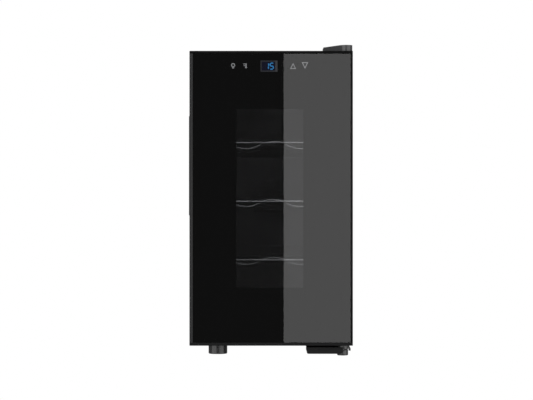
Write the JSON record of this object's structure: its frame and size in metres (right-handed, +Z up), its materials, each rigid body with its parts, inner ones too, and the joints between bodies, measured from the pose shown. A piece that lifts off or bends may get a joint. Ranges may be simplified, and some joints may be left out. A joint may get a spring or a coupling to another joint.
{
  "type": "wine cooler",
  "caption": "Compact freestanding wine cooler: black steel cabinet, right-hinged tinted glass door with touch display, sliding wavy wire shelves and a thermoelectric cooling unit.",
  "frame": {"origin": "on the floor, under the middle of the whole object's box", "axes": "+Z up, +Y from the door to the back, +X to the right seen from the front"},
  "size_m": [0.251, 0.5, 0.478],
  "materials": {
    "painted_steel": "satin",
    "zinc_steel": "satin",
    "dark_steel": "satin",
    "chrome_wire": "polished",
    "matte_black_plastic": "matte",
    "gloss_black_plastic": "gloss",
    "foot_steel": "gloss",
    "frame_plastic": "satin",
    "liner_plastic": "matte",
    "foam": "matte",
    "black_rubber": "matte",
    "tinted_glass": "gloss",
    "clear_glass": "gloss",
    "mask_black": "gloss",
    "aluminium": "satin",
    "white_ceramic": "matte",
    "circuit_board": "satin",
    "board_parts": "satin",
    "display_navy": "gloss",
    "frosted_plastic": "frosted",
    "white_plastic": "satin"
  },
  "bodies": {
    "cabinet": {"cabinet_wrap": "painted_steel", "base_plate": "painted_steel", "rear_cover": "painted_steel", "upper_hinge_plate": "painted_steel", "back_plate": "zinc_steel", "hinge_backings": "zinc_steel", "hinge_pins": "zinc_steel", "hinge_screws": "zinc_steel", "rear_screws": "zinc_steel", "unit_screws": "zinc_steel", "foot_nuts": "dark_steel", "rear_posts": "matte_black_plastic", "fan_guard": "matte_black_plastic", "hinge_toe_block": "matte_black_plastic", "inner_fan_cover": "matte_black_plastic", "shelf_runners": "matte_black_plastic", "cold_fan_frame": "matte_black_plastic", "hot_fan_frame": "matte_black_plastic", "rear_feet": "matte_black_plastic", "upper_hinge_cover": "gloss_black_plastic", "lower_hinge_plate": "foot_steel", "inner_liner": "liner_plastic", "cabinet_foam": "foam", "peltier_seal": "foam", "cord_gland": "black_rubber", "hot_fan_lead": "black_rubber", "cold_sink": "aluminium", "cold_block": "aluminium", "hot_sink": "aluminium", "peltier_module": "white_ceramic", "cabinet_boards": "circuit_board", "power_components": "board_parts", "lamp_lens": "frosted_plastic", "temperature_probe": "white_plastic"},
    "door": {"outer_glass": "tinted_glass", "glass_mask": "mask_black", "glass_spacer": "aluminium", "inner_glass": "clear_glass", "door_stile_left": "frame_plastic", "door_stile_right": "frame_plastic", "door_cap_top": "frame_plastic", "door_cap_bottom": "frame_plastic", "door_liner": "liner_plastic", "door_foam": "foam", "door_gasket": "black_rubber", "door_bushes": "white_plastic", "handle_cup": "gloss_black_plastic", "control_tray": "matte_black_plastic", "touch_board": "circuit_board", "display_module": "display_navy", "touch_pads": "black_rubber"},
    "shelf_low": {"shelf_bottom": "chrome_wire"},
    "shelf_mid": {"shelf_middle": "chrome_wire"},
    "shelf_high": {"shelf_top": "chrome_wire"},
    "cold_rotor": {"cold_fan_rotor": "matte_black_plastic"},
    "hot_rotor": {"hot_fan_rotor": "matte_black_plastic"},
    "left_stud": {"front_left_stud": "zinc_steel"},
    "left_pad": {"front_left_pad": "foot_steel"},
    "right_stud": {"front_right_stud": "zinc_steel"},
    "right_pad": {"front_right_pad": "foot_steel"}
  },
  "joints": [
    {"name": "door_swing", "type": "hinge", "parent": "cabinet", "child": "door", "pos_m": [0.11595, -0.229, 0], "axis": [0, 0, 1], "range_deg": [0, 120]},
    {"name": "shelf_low_slide", "type": "slide", "parent": "cabinet", "child": "shelf_low", "axis": [0, -1, 0], "range_m": [0, 0.05]},
    {"name": "shelf_mid_slide", "type": "slide", "parent": "cabinet", "child": "shelf_mid", "axis": [0, -1, 0], "range_m": [0, 0.05]},
    {"name": "shelf_high_slide", "type": "slide", "parent": "cabinet", "child": "shelf_high", "axis": [0, -1, 0], "range_m": [0, 0.05]},
    {"name": "cold_fan_spin", "type": "hinge", "parent": "cabinet", "child": "cold_rotor", "pos_m": [0.00395, 0, 0.237], "axis": [0, 1, 0], "continuous": true},
    {"name": "hot_fan_spin", "type": "hinge", "parent": "cabinet", "child": "hot_rotor", "pos_m": [0.00395, 0, 0.237], "axis": [0, 1, 0], "continuous": true},
    {"name": "left_foot_lift", "type": "slide", "parent": "cabinet", "child": "left_stud", "axis": [0, 0, 1], "range_m": [-0.00505, 0]},
    {"name": "left_foot_turn", "type": "hinge", "parent": "left_stud", "child": "left_pad", "pos_m": [-0.08255, -0.1784, 0], "axis": [0, 0, 1], "range_deg": [-1440, 0]},
    {"name": "right_foot_lift", "type": "slide", "parent": "cabinet", "child": "right_stud", "axis": [0, 0, 1], "range_m": [-0.00405, 0]},
    {"name": "right_foot_turn", "type": "hinge", "parent": "right_stud", "child": "right_pad", "pos_m": [0.11105, -0.215, 0], "axis": [0, 0, 1], "range_deg": [-1440, 0]}
  ],
  "couplings": [
    {"joint": "left_foot_lift", "follows": "left_foot_turn", "m_per_rad": 0.00019894},
    {"joint": "right_foot_lift", "follows": "right_foot_turn", "m_per_rad": 0.00015915}
  ]
}
